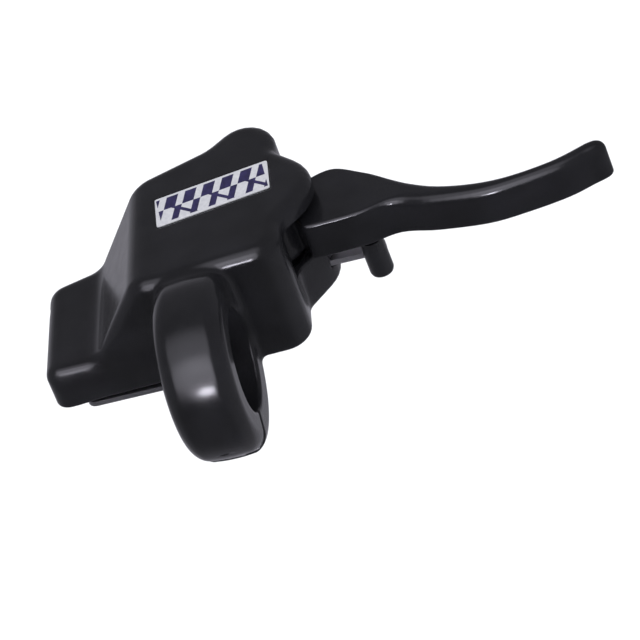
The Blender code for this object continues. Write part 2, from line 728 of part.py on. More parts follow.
def make_inlet():
    """Threaded bush that the cable's outer casing ends in, and the seal under its flange."""
    alloy = material("alloy_bush", (0.7, 0.71, 0.73), 0.3, 1.0)
    way = inlet_direction()
    flange, wire_hole = INLET_FLANGE_R, 1.1
    bush = turned([(INLET_BORE_R, 0.2), (flange - 0.3, 0.2), (flange, 0.5), (flange, 0.9),
                   (INLET_R, 0.9), (INLET_R, INLET_LENGTH), (wire_hole, INLET_LENGTH),
                   (wire_hole, INLET_LENGTH - 1.5), (INLET_BORE_R, INLET_LENGTH - 1.5)],
                  28, closed=True)
    start = Vector(INLET) + Vector((way.x, way.y, 0)) * INLET_SUNK
    add_object("cable_inlet_bush", place(bush, start, way), alloy)
    rubber = material("black_rubber", (0.03, 0.03, 0.03), 0.8, 0.0)
    inner = INLET_R + GAP
    seal = turned([(inner, 1.2), (inner + 0.5, 1.2), (inner + 0.5, 1.9), (inner, 1.9)], 28, closed=True)
    add_object("inlet_seal", place(seal, start, way), rubber)


def make_clamp_screw():
    steel = material("black_oxide_steel", (0.03, 0.03, 0.035), 0.35, 1.0)
    axis = polar(CLAMP_AXIS_R, SLIT_ANGLE)
    way = polar(1.0, SLIT_ANGLE + 90)
    profile = [(0, -7.8), (1.7, -7.8), (2.0, -7.5), (2.0, 5.5), (3.5, 5.5), (3.5, 9.2), (3.2, 9.5),
               (0, 9.5)]
    screw = add_object("clamp_screw", place(turned(profile, 24), axis, way), steel)
    cut(screw, place(hex_prism(3.0, 7.0, 12), axis, way))
    finish(screw)
    washer = turned([(2.3, 4.8), (3.7, 4.8), (3.7, 5.2), (2.3, 5.2)], 24, closed=True)
    add_object("clamp_washer", place(washer, axis, way), steel)


def make_badge():
    silver = material("silver_foil", (0.62, 0.62, 0.68), 0.3, 0.6)
    add_object("badge", badge_solid(0.0, Z_TOP - 0.1, Z_TOP + 0.2), silver)


def main():
    clear_scene()
    make_housing()
    make_cover()
    make_lever()
    make_bushes()
    make_pivot_bolt()
    make_return_spring()
    make_swivel_post()
    make_stop_peg()
    make_return_stop()
    make_inlet()
    make_clamp_screw()
    make_badge()


if __name__ == "__main__":
    main()
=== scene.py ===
"""Looks of the handlebar finger-lever control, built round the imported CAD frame.

The cast housing and the finger lever are rebuilt as smooth, filleted surfaces: each is a distance
field made of outlines, rounded unions and rounded cuts, and its zero surface is meshed. A field is
negative inside the solid. Lengths in the field code are millimetres in the part's own frame, and MM
turns them into metres.
"""

import math

import bpy
import numpy as np
from mathutils import Matrix, Vector


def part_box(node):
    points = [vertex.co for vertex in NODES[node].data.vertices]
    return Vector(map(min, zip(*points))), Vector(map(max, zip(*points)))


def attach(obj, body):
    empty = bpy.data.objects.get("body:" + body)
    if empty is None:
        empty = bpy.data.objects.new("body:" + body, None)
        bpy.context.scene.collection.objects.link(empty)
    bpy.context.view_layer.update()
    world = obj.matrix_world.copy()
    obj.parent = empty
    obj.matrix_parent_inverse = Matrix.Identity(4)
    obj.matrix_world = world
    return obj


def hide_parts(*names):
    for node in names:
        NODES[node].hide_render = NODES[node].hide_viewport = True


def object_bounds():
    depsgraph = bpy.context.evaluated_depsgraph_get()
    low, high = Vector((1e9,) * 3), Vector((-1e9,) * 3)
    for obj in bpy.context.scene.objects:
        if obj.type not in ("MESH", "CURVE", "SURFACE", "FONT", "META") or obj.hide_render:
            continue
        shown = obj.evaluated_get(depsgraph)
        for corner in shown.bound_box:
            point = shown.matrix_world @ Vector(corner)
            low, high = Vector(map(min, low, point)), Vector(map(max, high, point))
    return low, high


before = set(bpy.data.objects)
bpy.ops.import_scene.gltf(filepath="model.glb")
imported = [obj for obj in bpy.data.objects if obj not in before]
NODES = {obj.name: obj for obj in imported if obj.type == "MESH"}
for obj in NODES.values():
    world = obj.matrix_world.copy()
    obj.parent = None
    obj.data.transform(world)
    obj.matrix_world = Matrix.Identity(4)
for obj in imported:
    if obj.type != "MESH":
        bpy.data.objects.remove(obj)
cad_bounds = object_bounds()

MM = 0.001


def corners(node):
    """A CAD node's box in millimetres, as two numpy corners."""
    low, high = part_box(node)
    return np.array(low) / MM, np.array(high) / MM


def middle(node):
    """The middle of a CAD node as seen from above, in millimetres to the nearest thousandth."""
    low, high = corners(node)
    return tuple(round(float(v), 3) for v in (low + high)[:2] / 2)


def add_object(name, data):
    """A new object in the scene, with the mesh or camera data given."""
    obj = bpy.data.objects.new(name, data)
    bpy.context.scene.collection.objects.link(obj)
    return obj


def add_mesh(name, verts, faces):
    """A new mesh object from its vertices, in metres, and its faces."""
    mesh = bpy.data.meshes.new(name)
    mesh.from_pydata(verts, [], faces)
    mesh.update()
    return add_object(name, mesh)


# ---------------------------------------------------------------- distance fields

def segment_field(px, py, a, b):
    """Squared distance from points to the segment a-b, which may be a single point."""
    dx, dy = b[0] - a[0], b[1] - a[1]
    share = np.clip(((px - a[0]) * dx + (py - a[1]) * dy) / (dx * dx + dy * dy + 1e-12), 0, 1)
    return (px - a[0] - share * dx) ** 2 + (py - a[1] - share * dy) ** 2


def polygon_field(points, px, py):
    """Signed distance to a closed polygon, negative inside."""
    best = np.full(px.shape, 1e9, dtype=np.float32)
    inside = np.zeros(px.shape, dtype=bool)
    for i, b in enumerate(points):
        a = points[i - 1]
        best = np.minimum(best, segment_field(px, py, a, b))
        if a[1] == b[1]:
            continue
        crosses = (a[1] > py) != (b[1] > py)
        at = (b[0] - a[0]) * (py - a[1]) / (b[1] - a[1]) + a[0]
        inside ^= crosses & (px < at)
    distance = np.sqrt(best)
    return np.where(inside, -distance, distance)


def round_and(a, b, r):
    """Intersection whose convex edge is rounded to radius r."""
    return np.minimum(-r, np.maximum(a, b)) + np.hypot(np.maximum(a + r, 0), np.maximum(b + r, 0))


def round_or(a, b, r):
    """Union whose concave corner gets a fillet of radius r."""
    return np.maximum(r, np.minimum(a, b)) - np.hypot(np.maximum(r - a, 0), np.maximum(r - b, 0))


def cut_with(a, b, r):
    """a with b taken away, and the edge rounded to radius r."""
    return round_and(a, -b, r)


def box_field(x, y, z, low, high, r=0.0):
    """A box with rounded edges."""
    q = [np.abs(v - (lo + hi) / 2) - (hi - lo) / 2 + r for v, lo, hi in zip((x, y, z), low, high)]
    outside = np.sqrt(sum(np.maximum(v, 0) ** 2 for v in q))
    return outside + np.minimum(np.maximum(np.maximum(q[0], q[1]), q[2]), 0) - r


def off_centre(x, y, centre):
    """Distance from an upright axis."""
    return np.hypot(x - centre[0], y - centre[1])


def rod_field(x, y, z, centre, radius, z0, z1, r=0.0):
    """An upright cylinder with rounded ends."""
    wall = off_centre(x, y, centre) - radius
    ends = np.abs(z - (z0 + z1) / 2) - (z1 - z0) / 2
    return round_and(wall, ends, r)


def outline(corner_list, steps=8):
    """Points of a closed outline whose corners (x, y, radius) are arcs of so many steps."""
    points = []
    count = len(corner_list)
    for i, (x, y, radius) in enumerate(corner_list):
        here = Vector((x, y))
        way_in = (here - Vector(corner_list[i - 1][:2])).normalized()
        way_out = (Vector(corner_list[(i + 1) % count][:2]) - here).normalized()
        side = 1.0 if way_in.x * way_out.y - way_in.y * way_out.x > 0 else -1.0
        angle = way_in.angle(way_out)
        start = here - way_in * (radius * math.tan(angle / 2))
        centre = start + Vector((-way_in.y, way_in.x)) * (side * radius)
        for k in range(steps + 1):
            spoke = start - centre
            spoke.rotate(Matrix.Rotation(side * angle * k / steps, 2))
            points.append(tuple(centre + spoke))
    return points


def smooth_curve(points, steps):
    """An open Catmull-Rom curve through the points, with so many steps from each to the next."""
    ends = [points[0]] + list(points) + [points[-1]]
    curve = []
    for i in range(1, len(ends) - 2):
        p0, p1, p2, p3 = (Vector(p) for p in ends[i - 1:i + 3])
        for k in range(steps):
            t = k / steps
            point = 2 * p1 + (p2 - p0) * t + (2 * p0 - 5 * p1 + 4 * p2 - p3) * t ** 2
            point = point + (3 * p1 - p0 - 3 * p2 + p3) * t ** 3
            curve.append(tuple(point / 2))
    curve.append(tuple(points[-1]))
    return curve


# ---------------------------------------------------------------- meshing a field

CELL_CORNERS = [(i, j, k) for i in (0, 1) for j in (0, 1) for k in (0, 1)]
SLOPE_STEP = 0.05            # the move that a field's slope is measured over
FLATTEST_SLOPE = 0.3         # a flatter field is taken to slope this much, so no vertex jumps


def shifted(array, offset):
    """The grid's values at one corner of every cell."""
    i, j, k = offset
    nx, ny, nz = array.shape
    return array[i:nx - 1 + i, j:ny - 1 + j, k:nz - 1 + k]


def surface_points(value, cells):
    """For each cell, the mean of the places where its edges cross the surface, in grid steps."""
    total = np.zeros((len(cells), 3))
    hits = np.zeros(len(cells))
    for a in CELL_CORNERS:
        for axis in range(3):
            if a[axis]:
                continue
            b = list(a)
            b[axis] = 1
            va = value[tuple((cells + a).T)]
            vb = value[tuple((cells + b).T)]
            crossing = (va < 0) != (vb < 0)
            share = np.where(crossing, va / np.where(crossing, va - vb, 1), 0)
            point = np.tile(np.array(a, dtype=float), (len(cells), 1))
            point[:, axis] += share
            total += point * crossing[:, None]
            hits += crossing
    return cells + total / hits[:, None]


def pull_to_surface(verts, field, step):
    """Moves each vertex along the field's slope, by up to half a grid step, onto the surface."""
    here = field(*verts.T)
    slope = np.empty_like(verts)
    for axis in range(3):
        moved = verts.copy()
        moved[:, axis] += SLOPE_STEP
        slope[:, axis] = (field(*moved.T) - here) / SLOPE_STEP
    length = np.linalg.norm(slope, axis=1)
    slope = slope / np.maximum(length, FLATTEST_SLOPE)[:, None]
    return verts - slope * np.clip(here, -0.5 * step, 0.5 * step)[:, None]


def surface_faces(inside, index):
    """A quad, facing outwards, between the four cells round each grid edge that crosses the surface."""
    size = np.array(inside.shape)
    faces = []
    for axis in range(3):
        u, v = [k for k in range(3) if k != axis]
        near = [slice(None)] * 3
        far = [slice(None)] * 3
        near[axis] = slice(0, -1)
        far[axis] = slice(1, None)
        first, second = inside[tuple(near)], inside[tuple(far)]
        edges = np.argwhere(first != second)
        edges = edges[np.all((edges[:, [u, v]] > 0) & (edges[:, [u, v]] < size[[u, v]] - 1), axis=1)]
        starts_inside = first[tuple(edges.T)]
        ring = []
        for du, dv in ((0, 0), (-1, 0), (-1, -1), (0, -1)):
            cell = edges.copy()
            cell[:, u] += du
            cell[:, v] += dv
            ring.append(index[tuple(cell.T)])
        quads = np.stack(ring, axis=1)
        flip = starts_inside if axis == 1 else ~starts_inside
        quads[flip] = quads[flip][:, ::-1]
        faces.append(quads)
    faces = np.concatenate(faces)
    return faces[np.all(faces >= 0, axis=1)]


def mesh_field(name, field, low, high, step):
    """Meshes field's zero surface inside the box low-high, on a grid of step, as smooth quads."""
    axes = [np.arange(lo - 1.5 * step, hi + 2.5 * step, step, dtype=np.float32)
            for lo, hi in zip(low, high)]
    value = field(*np.meshgrid(*axes, indexing="ij")).astype(np.float32)
    inside = value < 0
    count = sum(shifted(inside, c).astype(np.int8) for c in CELL_CORNERS)
    cells = np.argwhere((count > 0) & (count < 8))
    index = np.full(count.shape, -1, dtype=np.int64)
    index[tuple(cells.T)] = np.arange(len(cells))
    origin = np.array([axis[0] for axis in axes])
    verts = origin + surface_points(value, cells) * step
    for _ in range(3):
        verts = pull_to_surface(verts, field, step)
    obj = add_mesh(name, (verts * MM).tolist(), surface_faces(inside, index).tolist())
    obj.data.shade_smooth()
    return obj


def plan_field(points, x, y):
    """polygon_field seen along Z; on a grid it is worked out once for all heights."""
    return polygon_field(points, x[:, :, :1], y[:, :, :1]) if x.ndim == 3 else polygon_field(points, x, y)


def side_field(points, x, z):
    """polygon_field seen along Y; on a grid it is worked out once for all depths."""
    return polygon_field(points, x[:, :1, :], z[:, :1, :]) if x.ndim == 3 else polygon_field(points, x, z)


# ---------------------------------------------------------------- housing casting

Z_TOP = 17.4
Z_BOTTOM = -10.4
BLOCK_TOP = -0.7             # top of the low block at the cable's end
END_X = -37.4                # the block's end face
INCLINE_FOOT_X = -25.4
INCLINE_CREST_X = -12.0
ROOF_THICK = 3.6
BLOCK_ROOF_THICK = 2.6
BODY_EDGE = 3.2              # radius of the edge between walls and top
LEFT, RIGHT, UNDER = -60, 70, -50           # well outside the body

BORE_R = 11.1
RING_R = 19.3
HEEL_R = 20.0
RING_HALF = 7.5
RING_FILLET = 3.4
RING_CROWN = 0.014           # how fast the ring's face falls away from its middle, per mm
RING_JOIN = 1.6              # fillet between ring and body
SLIT_ANGLE = math.radians(238.0)            # in the YZ plane, from +Y towards +Z
SLIT_HALF = 0.6
SLIT_START = 8.0             # the slit runs outwards from this distance to the bar's axis
PINCH_OUT = 15.0             # the pinch screw's distance from the bar's axis
PINCH_HOLE_R = 2.3
PINCH_MIDDLE = 6.8           # the screw hole's middle and half length, across the slit
PINCH_HALF = 15.2
PINCH_HEAD_R = 4.1
PINCH_SEAT = 4.5             # the counterbore for its head starts this far from the slit

PIVOT = middle("pivot_bolt")
POST = middle("swivel_post")
PEG = middle("stop_peg")
STOP_PIN = middle("return_stop_pin")
COVER_SCREWS = [middle(f"cover_screw_{i}") for i in (1, 2, 3, 4)]
SCREW_POST_R = 3.3
SCREW_HOLE_R = 1.8
SCREW_HOLE_DEPTH = 7.0

SLOT = ((2.6, 20.0, 1.3), (45, 43.0, 12.4))         # low and high corner; runs out at the right
WELL_R, WELL_BOTTOM, WELL_TOP = 8.9, -3.2, 2.4      # the return spring's room, open into the slot
CHANNEL = ((19.6, 30.4, -6.1), (45, 34.5, -4.1))    # for the return stop
STOP_PIN_HOLE_R, STOP_PIN_HOLE_BOTTOM, STOP_PIN_HOLE_TOP = 1.3, -9.7, -5.0
BOLT_HEAD_R, BOLT_SEAT_Z = 5.6, -6.5
BOLT_STEPS = ((3.5, 13.8), (2.8, 15.2))             # radius and top of shoulder hole and thread hole

INLET = (END_X, 33.0, -6.1)
CABLE_AIM = Vector((9.5, 45.7))                     # the cable's seat in the post, at half travel
INLET_WAY = (CABLE_AIM - Vector(INLET[:2])).normalized()
INLET_HOLE_R, INLET_HOLE_DEPTH = 3.3, 11.8
INLET_RIM_R, INLET_RIM_DEPTH = 3.7, 3.2
FOOT_FILLET_AT_INLET = 0.5   # the bottom edge's radius, kept small where the inlet's rim is thin
FOOT_FILLET_GROWTH = 0.7     # gained between these distances from the end face
FOOT_FILLET_FROM, FOOT_FILLET_TO = 5.0, 11.0

BADGE_CENTRE = (5.4, 34.1)
BADGE_LONG = (12.3, 2.2)     # half of the badge's length, and of its slightly slanting width
BADGE_SHORT = (-0.35, 4.65)
BADGE_CORNERS = ((-1, -1), (1, -1), (1, 1), (-1, 1))
BADGE_GAP = 0.15
POCKET_DEPTH = 0.3

TOP_PLAN = outline([
    (END_X, 10.4, 3.4), (-5.0, 9.2, 2.0), (7.0, 10.9, 4.0), (20.0, 12.0, 6.5), (19.9, 21.6, 4.0),
    (31.3, 33.2, 11.2), (18.4, 45.6, 2.2), (18.4, 64.8, 6.9), (3.2, 51.0, 9.0),
    (-12.5, 45.0, 14.0), (-25.0, 43.6, 14.0), (END_X, 39.8, 4.2)])
FOOT_PLAN = outline([
    (END_X, 9.9, 3.4), (19.3, 11.8, 5.5), (18.6, 23.2, 4.0), (28.6, 36.0, 9.4), (17.9, 46.2, 2.2),
    (17.9, 63.4, 6.5), (3.2, 50.2, 9.0), (-12.5, 44.6, 14.0), (-25.0, 43.2, 14.0), (END_X, 39.4, 4.2)])
SIDE_PROFILE = outline([
    (LEFT, UNDER, 0.1), (RIGHT, UNDER, 0.1), (RIGHT, Z_TOP, 0.1), (INCLINE_CREST_X, Z_TOP, 6.0),
    (INCLINE_FOOT_X, BLOCK_TOP, 5.0), (LEFT, BLOCK_TOP, 0.1)])
CAVITY_PLAN = outline([
    (-28.4, 13.4, 1.5), (-11.5, 13.4, 1.5), (-11.5, 20.6, 1.5), (3.2, 20.6, 1.5), (3.2, 41.0, 0.6),
    (15.4, 41.0, 0.6), (15.4, 58.2, 4.0), (4.8, 48.3, 6.0), (-12.0, 42.0, 10.0), (-24.0, 40.6, 3.0),
    (-28.4, 39.4, 1.0)], 4)
CAVITY_SIDE = outline([
    (LEFT, UNDER, 0.1), (RIGHT, UNDER, 0.1), (RIGHT, Z_TOP - ROOF_THICK, 0.1),
    (INCLINE_CREST_X + 1.8, Z_TOP - ROOF_THICK, 3.0),
    (INCLINE_FOOT_X + 3.6, BLOCK_TOP - BLOCK_ROOF_THICK, 3.0),
    (LEFT, BLOCK_TOP - BLOCK_ROOF_THICK, 0.1)], 4)


def across_slit(y, z):
    """Distance from the slit's middle plane."""
    return z * math.cos(SLIT_ANGLE) - y * math.sin(SLIT_ANGLE)


def ring_field(x, y, z):
    """Clamp ring round the X axis, crowned: the jaw, and the slightly prouder heel behind the slit."""
    from_axis = np.hypot(y, z) + RING_CROWN * x * x
    sides = np.abs(x) - RING_HALF
    jaw = round_and(from_axis - RING_R, sides, RING_FILLET)
    heel = round_and(from_axis - HEEL_R, sides, RING_FILLET)
    heel = np.maximum(heel, np.maximum(-across_slit(y, z), z))
    return np.minimum(jaw, heel)


def clamp_cuts(body, x, y, z):
    """Bore, slit and the pinch screw's counterbored hole."""
    across = across_slit(y, z)
    outward = y * math.cos(SLIT_ANGLE) + z * math.sin(SLIT_ANGLE)
    off_screw = np.hypot(outward - PINCH_OUT, x)
    hole = np.maximum(off_screw - PINCH_HOLE_R, np.abs(across - PINCH_MIDDLE) - PINCH_HALF)
    counterbore = np.maximum(off_screw - PINCH_HEAD_R, PINCH_SEAT - across)
    body = cut_with(body, np.hypot(y, z) - BORE_R, 0.7)
    body = cut_with(body, np.maximum(np.abs(across) - SLIT_HALF, SLIT_START - outward), 0.35)
    return cut_with(body, np.minimum(hole, counterbore), 0.3)


def cavity_field(x, y, z):
    """The room for the mechanism, open at the bottom, with a post for each cover screw."""
    room = np.maximum(plan_field(CAVITY_PLAN, x, y), side_field(CAVITY_SIDE, x, z))
    for centre in COVER_SCREWS:
        room = np.maximum(room, SCREW_POST_R - off_centre(x, y, centre))
    return room


def lever_cuts(body, x, y, z):
    """Slot for the lever, well for its spring, and channel and pin hole for the return stop."""
    body = cut_with(body, box_field(x, y, z, *SLOT, 0.8), 0.6)
    body = np.maximum(body, -rod_field(x, y, z, PIVOT, WELL_R, WELL_BOTTOM, WELL_TOP))
    body = cut_with(body, box_field(x, y, z, *CHANNEL, 0.3), 0.3)
    pin_hole = rod_field(x, y, z, STOP_PIN, STOP_PIN_HOLE_R, STOP_PIN_HOLE_BOTTOM, STOP_PIN_HOLE_TOP)
    return np.maximum(body, -pin_hole)


def bolt_cuts(body, x, y, z):
    """The pivot bolt's counterbore and stepped hole, and the cover screws' holes."""
    from_pivot = off_centre(x, y, PIVOT)
    body = cut_with(body, np.maximum(from_pivot - BOLT_HEAD_R, z - BOLT_SEAT_Z), 0.4)
    for radius, top in BOLT_STEPS:
        body = np.maximum(body, -np.maximum(from_pivot - radius, z - top))
    for centre in COVER_SCREWS:
        hole = np.maximum(off_centre(x, y, centre) - SCREW_HOLE_R, z - Z_BOTTOM - SCREW_HOLE_DEPTH)
        body = np.maximum(body, -hole)
    return body


def inlet_cut(body, x, y, z):
    """Slanting hole for the cable's bush, with a counterbore for its flange."""
    dx, dy, dz = x - INLET[0], y - INLET[1], z - INLET[2]
    along = dx * INLET_WAY.x + dy * INLET_WAY.y
    off_axis = np.hypot(dy * INLET_WAY.x - dx * INLET_WAY.y, dz)
    hole = np.maximum(off_axis - INLET_HOLE_R, along - INLET_HOLE_DEPTH)
    counterbore = np.maximum(off_axis - INLET_RIM_R, along - INLET_RIM_DEPTH)
    return np.maximum(body, -np.minimum(hole, counterbore))


def badge_pocket(x, y, z):
    """The badge's shallow pocket in the top, with a gap all round it."""
    along, across = Vector(BADGE_LONG), Vector(BADGE_SHORT)
    along += along.normalized() * BADGE_GAP
    across += across.normalized() * BADGE_GAP
    points = [tuple(Vector(BADGE_CENTRE) + along * a + across * b) for a, b in BADGE_CORNERS]
    return np.maximum(plan_field(points, x, y), Z_TOP - POCKET_DEPTH - z)


def housing_field(x, y, z):
    """The whole casting: body, clamp ring, cavity, slot, holes and the badge's pocket."""
    share = np.clip((z - Z_BOTTOM) / (Z_TOP - Z_BOTTOM), 0, 1)
    plan = plan_field(FOOT_PLAN, x, y) * (1 - share) + plan_field(TOP_PLAN, x, y) * share
    body = round_and(plan, side_field(SIDE_PROFILE, x, z), BODY_EDGE)
    past_inlet = (x - END_X - FOOT_FILLET_FROM) / (FOOT_FILLET_TO - FOOT_FILLET_FROM)
    past_inlet = np.clip(past_inlet, 0, 1)
    body = round_and(body, Z_BOTTOM - z, FOOT_FILLET_AT_INLET + FOOT_FILLET_GROWTH * past_inlet)
    body = round_or(body, ring_field(x, y, z), RING_JOIN)
    body = clamp_cuts(body, x, y, z)
    body = np.maximum(body, -cavity_field(x, y, z))
    body = lever_cuts(body, x, y, z)
    body = bolt_cuts(body, x, y, z)
    body = np.maximum(body, -badge_pocket(x, y, z))
    return inlet_cut(body, x, y, z)


# ---------------------------------------------------------------- finger lever

LEVER_BOTTOM = 1.75
LEVER_TOP = 10.9
ARM_BOTTOM = LEVER_BOTTOM + 0.2
ARM_TOP = 7.8
BLADE_ROOT_EDGE = 0.8        # radius of the blade's upper edges at its root, and how much they gain
BLADE_EDGE_GAIN = 1.5        # between these places along X
BLADE_EDGE_FROM, BLADE_EDGE_TO = 37.0, 46.0
COLLAR_R = 8.2               # the hub's wide middle, level with the blade
HUB_R, HUB_BOTTOM, HUB_TOP, HUB_BORE_R = 6.2, -2.2, 11.3, 4.8
EYE_R, EYE_BORE_R = 3.9, 2.8                # the arm's end, round the swivel post
PEG_HOLE_R, PEG_HOLE_TOP = 1.4, 7.0
BLADE_BACK = [(22.6, 39.2), (26.3, 41.4), (30.5, 41.7), (36.3, 38.3), (43.2, 33.8), (52.5, 28.7),
              (64.1, 26.4), (75.8, 27.9), (83.8, 31.1)]
BLADE_TIP = [(83.8, 31.1), (85.8, 31.5), (87.4, 30.9), (88.0, 29.7), (87.5, 28.5), (86.2, 27.7),
             (84.1, 26.9)]
BLADE_FRONT = [(84.1, 26.9), (78.4, 24.6), (69.7, 22.9), (61.1, 22.2), (50.3, 23.9), (42.1, 26.1),
               (35.3, 24.8), (28.8, 24.3), (24.3, 24.2), (22.8, 24.8), (22.1, 26.3), (20.6, 29.0)]
BLADE_PLAN = (smooth_curve(BLADE_BACK, 6)[:-1] + smooth_curve(BLADE_TIP, 5)[:-1]
              + smooth_curve(BLADE_FRONT, 6) + [(PIVOT[0], PIVOT[1] + 6.0)])
ARM_PLAN = [(PIVOT[0] - 7.6, PIVOT[1] + 1.0), (PIVOT[0] + 6.4, PIVOT[1] + 3.0),
            (POST[0] + 3.7, POST[1] - 1.3), POST, (POST[0] - 3.7, POST[1] - 0.8)]


def blade_field(x, y, z):
    """The finger blade. Its upper edges are sharp at the root and fuller further out."""
    share = np.clip((x - BLADE_EDGE_FROM) / (BLADE_EDGE_TO - BLADE_EDGE_FROM), 0, 1)
    edge = BLADE_ROOT_EDGE + BLADE_EDGE_GAIN * share * share * (3 - 2 * share)
    blade = round_and(plan_field(BLADE_PLAN, x, y), z - LEVER_TOP, edge)
    return round_and(blade, LEVER_BOTTOM - z, 0.8)


def arm_field(x, y, z):
    """The inner arm, with a round eye for the swivel post."""
    levels = np.abs(z - (ARM_TOP + ARM_BOTTOM) / 2) - (ARM_TOP - ARM_BOTTOM) / 2
    arm = np.maximum(plan_field(ARM_PLAN, x, y), levels)
    return np.minimum(arm, rod_field(x, y, z, POST, EYE_R, ARM_BOTTOM, ARM_TOP, 0.3))


def lever_field(x, y, z):
    """Blade, hub and inner arm, bored for the bushes, the swivel post and the peg's stem."""
    collar = rod_field(x, y, z, PIVOT, COLLAR_R, LEVER_BOTTOM + 0.1, LEVER_TOP + 0.1, 0.5)
    body = round_or(blade_field(x, y, z), collar, 0.6)
    body = round_or(body, arm_field(x, y, z), 0.8)
    body = np.minimum(body, rod_field(x, y, z, PIVOT, HUB_R, HUB_BOTTOM, HUB_TOP, 0.3))
    body = np.maximum(body, HUB_BORE_R - off_centre(x, y, PIVOT))
    body = np.maximum(body, EYE_BORE_R - off_centre(x, y, POST))
    return np.maximum(body, -rod_field(x, y, z, PEG, PEG_HOLE_R, 0.0, PEG_HOLE_TOP))


# ---------------------------------------------------------------- materials

def new_material(name):
    """A node material, with its tree and its Principled shader."""
    mat = bpy.data.materials.new(name)
    mat.use_nodes = True
    tree = mat.node_tree
    return mat, tree, tree.nodes["Principled BSDF"]


def noise(tree, scale, detail=3.0, roughness=0.5):
    """Noise in the object's own metres: scale is about one over the size of its grain."""
    place = tree.nodes.new("ShaderNodeTexCoord")
    texture = tree.nodes.new("ShaderNodeTexNoise")
    texture.inputs["Scale"].default_value = scale
    texture.inputs["Detail"].default_value = detail
    texture.inputs["Roughness"].default_value = roughness
    tree.links.new(place.outputs["Object"], texture.inputs["Vector"])
    return texture.outputs["Fac"]


def spread(tree, value, low, high, start=0.3, end=0.7):
    """Maps a 0-1 value onto low-high."""
    node = tree.nodes.new("ShaderNodeMapRange")
    node.inputs["From Min"].default_value = start
    node.inputs["From Max"].default_value = end
    node.inputs["To Min"].default_value = low
    node.inputs["To Max"].default_value = high
    tree.links.new(value, node.inputs["Value"])
    return node.outputs["Result"]


def mixed(tree, value, colour_a, colour_b):
    """A colour between two, by a 0-1 value."""
    node = tree.nodes.new("ShaderNodeMix")
    node.data_type = "RGBA"
    node.inputs["A"].default_value = (*colour_a, 1)
    node.inputs["B"].default_value = (*colour_b, 1)
    tree.links.new(value, node.inputs["Factor"])
    return node.outputs["Result"]


def bump(tree, shader, height, strength, distance):
    """Fine relief on a shader's surface."""
    node = tree.nodes.new("ShaderNodeBump")
    node.inputs["Strength"].default_value = strength
    node.inputs["Distance"].default_value = distance
    tree.links.new(height, node.inputs["Height"])
    tree.links.new(node.outputs["Normal"], shader.inputs["Normal"])


def painted_black(name, roughness=0.2):
    """Gloss black paint over a casting: faint orange peel and slightly uneven gloss."""
    mat, tree, shader = new_material(name)
    broad = noise(tree, 90.0, 2.0)
    colour = mixed(tree, spread(tree, broad, 0, 1), (0.005, 0.005, 0.006), (0.0085, 0.0085, 0.0105))
    tree.links.new(colour, shader.inputs["Base Color"])
    gloss = spread(tree, noise(tree, 260.0, 4.0), roughness - 0.04, roughness + 0.05)
    tree.links.new(gloss, shader.inputs["Roughness"])
    shader.inputs["Coat Weight"].default_value = 0.35
    shader.inputs["Coat Roughness"].default_value = 0.12
    shader.inputs["Specular IOR Level"].default_value = 0.5
    bump(tree, shader, noise(tree, 700.0, 2.0), 0.05, 0.0002)
    return mat


def metal(name, colour, roughness, grain=2400.0, shade=0.75):
    """Bare or plated metal with fine grain and slight staining."""
    mat, tree, shader = new_material(name)
    dark = tuple(c * shade for c in colour)
    stain = spread(tree, noise(tree, 180.0, 4.0), 0, 1)
    tree.links.new(mixed(tree, stain, dark, colour), shader.inputs["Base Color"])
    shader.inputs["Metallic"].default_value = 1.0
    fine = noise(tree, grain, 3.0)
    tree.links.new(spread(tree, fine, roughness - 0.06, roughness + 0.1), shader.inputs["Roughness"])
    bump(tree, shader, fine, 0.12, 0.00004)
    return mat


def rubber(name):
    """Matt black rubber with a fine grain."""
    mat, tree, shader = new_material(name)
    fine = noise(tree, 1500.0, 3.0)
    tree.links.new(mixed(tree, fine, (0.012, 0.012, 0.012), (0.03, 0.03, 0.03)),
                   shader.inputs["Base Color"])
    tree.links.new(spread(tree, fine, 0.6, 0.8), shader.inputs["Roughness"])
    bump(tree, shader, fine, 0.2, 0.00005)
    return mat


def paint(obj, mat):
    """Gives an object one material, in its existing slot if it has one."""
    if obj.material_slots:
        for slot in obj.material_slots:
            slot.material = mat
    else:
        obj.data.materials.append(mat)


# ---------------------------------------------------------------- badge

